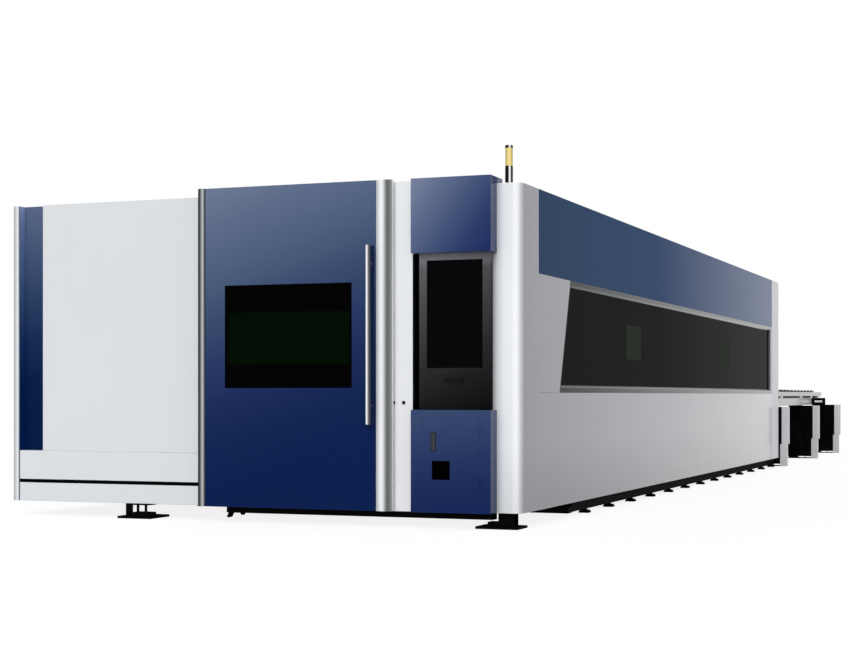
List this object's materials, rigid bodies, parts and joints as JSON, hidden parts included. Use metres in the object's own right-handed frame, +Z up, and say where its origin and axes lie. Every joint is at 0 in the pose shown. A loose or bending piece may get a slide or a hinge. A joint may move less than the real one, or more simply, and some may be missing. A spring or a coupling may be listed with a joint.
{
  "type": "fiber laser cutting machine",
  "caption": "Enclosed flatbed fiber laser cutting machine with sliding front door, operator console, long side window, moving gantry head and a rear exchange table with two slatted pallets.",
  "frame": {"origin": "on the floor under the middle of the overall box", "axes": "+Z up, +Y along the machine from the operator's front towards the exchange table, +X to the right seen from the front"},
  "size_m": [4.41, 16.6439, 2.678],
  "materials": {
    "front_white": "satin",
    "corner_white": "satin",
    "wall_grey": "satin",
    "window_bars": "satin",
    "band_blue": "gloss",
    "door_blue": "gloss",
    "strip_blue": "gloss",
    "hood_blue": "gloss",
    "cabinet_blue": "gloss",
    "sheet_grey": "satin",
    "frame_black": "satin",
    "silver_profile": "satin",
    "black_pane": "gloss",
    "green_window": "gloss",
    "dark_glass": "gloss",
    "handle_steel": "polished",
    "strip_black": "matte",
    "zinc_steel": "satin",
    "console_grey": "satin",
    "housing_black": "matte",
    "screen_glass": "gloss",
    "pull_dark": "matte",
    "vent_black": "matte",
    "button_dark": "satin",
    "lamp_black": "gloss",
    "lamp_amber": "gloss",
    "bed_grey": "satin",
    "ground_steel": "polished",
    "gantry_grey": "satin",
    "carriage_alloy": "satin",
    "head_steel": "satin",
    "pallet_grey": "satin",
    "slat_steel": "matte",
    "table_grey": "satin",
    "post_grey": "satin",
    "drive_grey": "satin",
    "equipment_grey": "satin"
  },
  "bodies": {
    "machine": {"base_frame": "frame_black", "levelling_feet": "frame_black", "front_feet": "frame_black", "side_walls": "wall_grey", "side_window_frame": "window_bars", "side_glass": "dark_glass", "viewing_windows": "green_window", "side_bands": "band_blue", "corner_column": "corner_white", "rear_columns": "wall_grey", "rear_wall": "sheet_grey", "roof_panels": "sheet_grey", "left_trim": "front_white", "recess_strip": "strip_blue", "front_wall_panels": "front_white", "door_tracks": "frame_black", "door_column": "front_white", "console_hood": "hood_blue", "console_housing": "housing_black", "console_face": "console_grey", "console_screen": "screen_glass", "console_cabinet": "cabinet_blue", "lamp_housing": "lamp_black", "lamp_lens": "lamp_amber", "bed": "bed_grey", "y_rails": "ground_steel", "table_rails": "table_grey", "table_trestles": "frame_black", "table_posts": "post_grey", "table_drive": "drive_grey", "cell_bulkhead": "sheet_grey", "lift_guides": "zinc_steel", "laser_source": "equipment_grey", "electrical_cabinet": "equipment_grey", "dust_outlet": "zinc_steel"},
    "sliding_door": {"door_leaf": "door_blue", "door_profiles": "silver_profile", "door_pane": "black_pane", "door_window": "green_window", "door_handle": "handle_steel", "door_handle_strip": "strip_black", "door_hangers": "zinc_steel"},
    "drawer_body": {"drawer": "console_grey", "drawer_pull": "pull_dark"},
    "cabinet_door_body": {"cabinet_door": "cabinet_blue", "cabinet_vent": "vent_black"},
    "lever_body": {"lock_lever": "pull_dark"},
    "left_button_body": {"button_left": "button_dark"},
    "right_button_body": {"button_right": "button_dark"},
    "gantry": {"gantry_beam": "gantry_grey", "gantry_saddles": "gantry_grey", "x_rails": "ground_steel"},
    "carriage": {"x_carriage": "carriage_alloy"},
    "head": {"z_slide": "carriage_alloy", "cutting_head": "head_steel"},
    "upper_pallet_body": {"upper_pallet": "pallet_grey", "upper_slats": "slat_steel"},
    "lower_pallet_body": {"lower_pallet": "pallet_grey", "lower_slats": "slat_steel"},
    "lift_door_body": {"lift_door": "sheet_grey"}
  },
  "joints": [
    {"name": "door_slide", "type": "slide", "parent": "machine", "child": "sliding_door", "axis": [-1, 0, 0], "range_m": [0, 1.3]},
    {"name": "drawer_slide", "type": "slide", "parent": "machine", "child": "drawer_body", "axis": [0, -1, 0], "range_m": [0, 0.23]},
    {"name": "cabinet_door_hinge", "type": "hinge", "parent": "machine", "child": "cabinet_door_body", "pos_m": [1.8196, -8.268, 0.5], "axis": [0, 0, 1], "range_deg": [0, 110]},
    {"name": "lock_lever_pivot", "type": "hinge", "parent": "cabinet_door_body", "child": "lever_body", "pos_m": [1.4775, -8.261, 0.668], "axis": [-1, 0, 0], "range_deg": [0, 45]},
    {"name": "left_button_push", "type": "slide", "parent": "machine", "child": "left_button_body", "axis": [0, 1, 0], "range_m": [0, 0.004], "stiffness_N_per_m": 400, "springref_m": -0.002},
    {"name": "right_button_push", "type": "slide", "parent": "machine", "child": "right_button_body", "axis": [0, 1, 0], "range_m": [0, 0.004], "stiffness_N_per_m": 400, "springref_m": -0.002},
    {"name": "gantry_y", "type": "slide", "parent": "machine", "child": "gantry", "axis": [0, 1, 0], "range_m": [0, 5.95]},
    {"name": "carriage_x", "type": "slide", "parent": "gantry", "child": "carriage", "axis": [1, 0, 0], "range_m": [-1.6, 1.6]},
    {"name": "head_z", "type": "slide", "parent": "carriage", "child": "head", "axis": [0, 0, 1], "range_m": [-0.045, 0.12]},
    {"name": "upper_pallet_slide", "type": "slide", "parent": "machine", "child": "upper_pallet_body", "axis": [0, -1, 0], "range_m": [0, 6.19]},
    {"name": "lower_pallet_slide", "type": "slide", "parent": "machine", "child": "lower_pallet_body", "axis": [0, 1, 0], "range_m": [0, 6.19]},
    {"name": "lift_door_slide", "type": "slide", "parent": "machine", "child": "lift_door_body", "axis": [0, 0, -1], "range_m": [0, 0.33]}
  ],
  "couplings": [
    {"joint": "lower_pallet_slide", "follows": "upper_pallet_slide", "ratio": 1}
  ]
}
